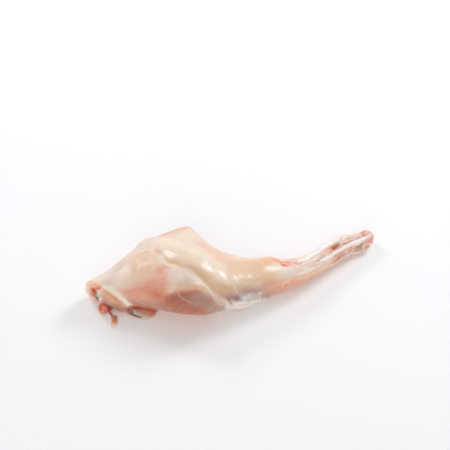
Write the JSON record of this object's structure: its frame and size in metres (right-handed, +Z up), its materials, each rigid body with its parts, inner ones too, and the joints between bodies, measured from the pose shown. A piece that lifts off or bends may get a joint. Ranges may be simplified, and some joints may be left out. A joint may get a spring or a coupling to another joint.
{
  "type": "raw rabbit leg",
  "caption": "Raw skinned rabbit hind leg lying on its inner side: plump thigh with an oblique hip cut, slim shank, heel tendon and a bare shin bone at the hock.",
  "frame": {"origin": "middle of the bounding box, on the surface that the leg lies on", "axes": "+X from the cut hip to the hock, along the leg; +Z up, towards the outer side of the leg; +Y towards the back edge of the thigh and the heel tendon"},
  "size_m": [0.2168, 0.0788, 0.0407],
  "materials": {
    "meat": "wet raw meat under thin whitish fascia, cream to salmon pink",
    "bone": "moist off-white bone and sinew"
  },
  "bodies": {
    "root": {"leg_meat": "meat", "shank_bone": "bone"}
  },
  "joints": []
}
